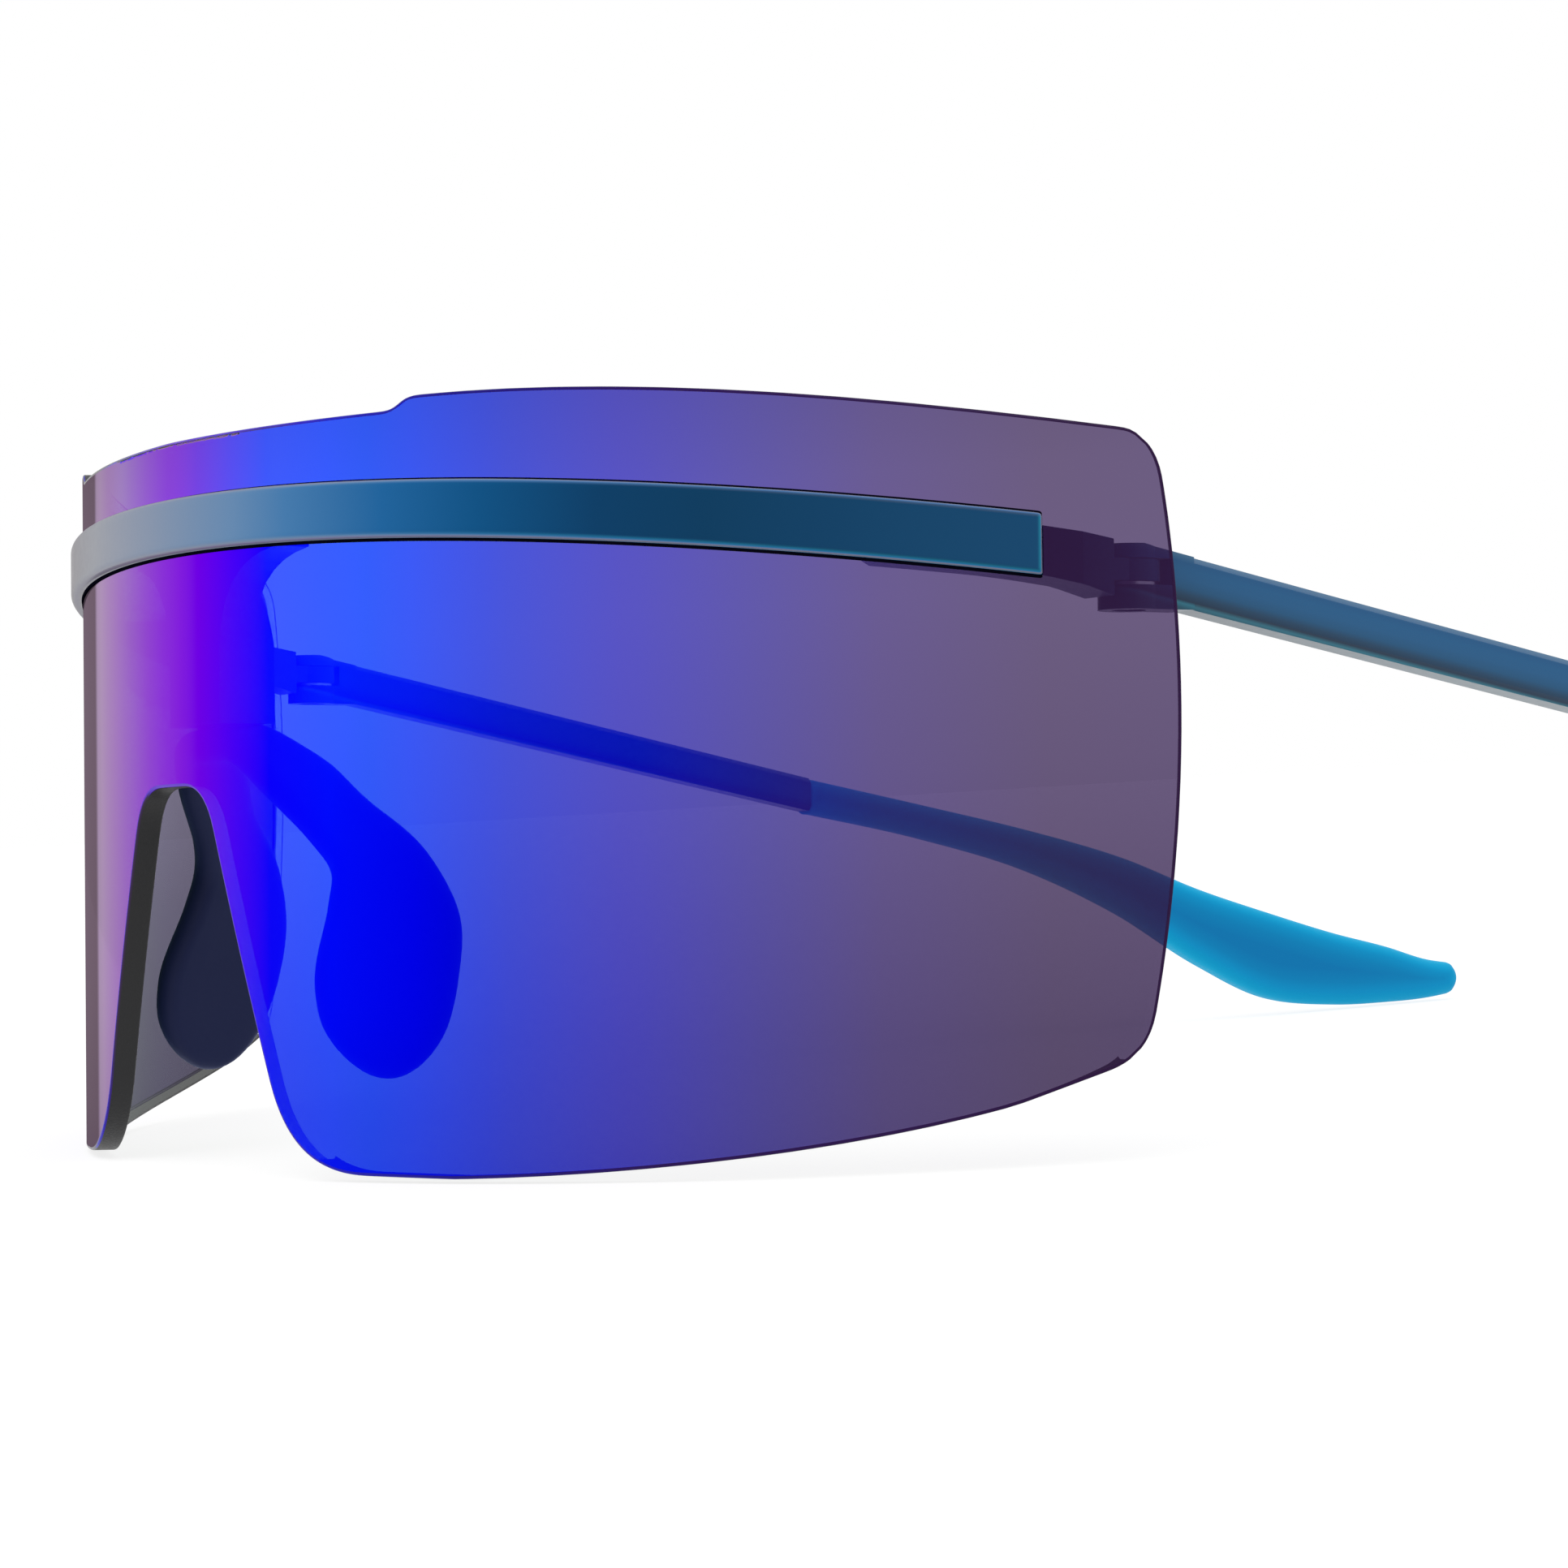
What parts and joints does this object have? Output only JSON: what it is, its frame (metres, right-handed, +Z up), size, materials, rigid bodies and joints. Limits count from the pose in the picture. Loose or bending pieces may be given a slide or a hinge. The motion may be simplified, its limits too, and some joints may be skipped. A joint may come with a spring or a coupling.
{
  "type": "wraparound sport sunglasses",
  "caption": "Wraparound sport sunglasses: one cylindrical mirror shield lens, a brow bar, a rubber nosepiece and two folding temples with rubber tips.",
  "frame": {"origin": "centre of the footprint of the open glasses as they stand on a table on the lens's two lobes and the temple tips", "axes": "+Z up from the table, -Y the way the wearer looks, +Y towards the temple tips, +X the wearer's left"},
  "size_m": [0.143, 0.1638, 0.0521],
  "materials": {
    "mirror_lens": "smoke polycarbonate, blue-violet mirror coat",
    "teal_nylon": "translucent teal nylon, satin",
    "navy_rubber": "soft matt rubber",
    "cyan_rubber": "soft matt rubber, slightly translucent",
    "hinge_brass": "turned",
    "screw_steel": "stainless"
  },
  "bodies": {
    "front": {"shield_lens": "mirror_lens", "brow_bar": "teal_nylon", "bridge_stem": "teal_nylon", "nosepiece": "navy_rubber", "endpiece_left": "teal_nylon", "endpiece_right": "teal_nylon", "bridge_screw_left": "screw_steel", "bridge_screw_right": "screw_steel", "endpiece_screw_left": "screw_steel", "endpiece_screw_right": "screw_steel", "hinge_bush_left": "hinge_brass", "hinge_bush_right": "hinge_brass"},
    "temple_left": {"temple_arm_left": "teal_nylon", "temple_tip_left": "cyan_rubber", "hinge_insert_left": "hinge_brass", "hinge_washer_left": "screw_steel", "hinge_screw_left": "screw_steel"},
    "temple_right": {"temple_arm_right": "teal_nylon", "temple_tip_right": "cyan_rubber", "hinge_insert_right": "hinge_brass", "hinge_washer_right": "screw_steel", "hinge_screw_right": "screw_steel"}
  },
  "joints": [
    {"name": "fold_left", "type": "hinge", "parent": "front", "child": "temple_left", "pos_m": [0.0647, -0.04193, 0.0369], "axis": [0, 0.0562, 0.9984], "range_deg": [0, 92]},
    {"name": "fold_right", "type": "hinge", "parent": "front", "child": "temple_right", "pos_m": [-0.0647, -0.04193, 0.0369], "axis": [0, -0.0562, -0.9984], "range_deg": [0, 86]}
  ]
}
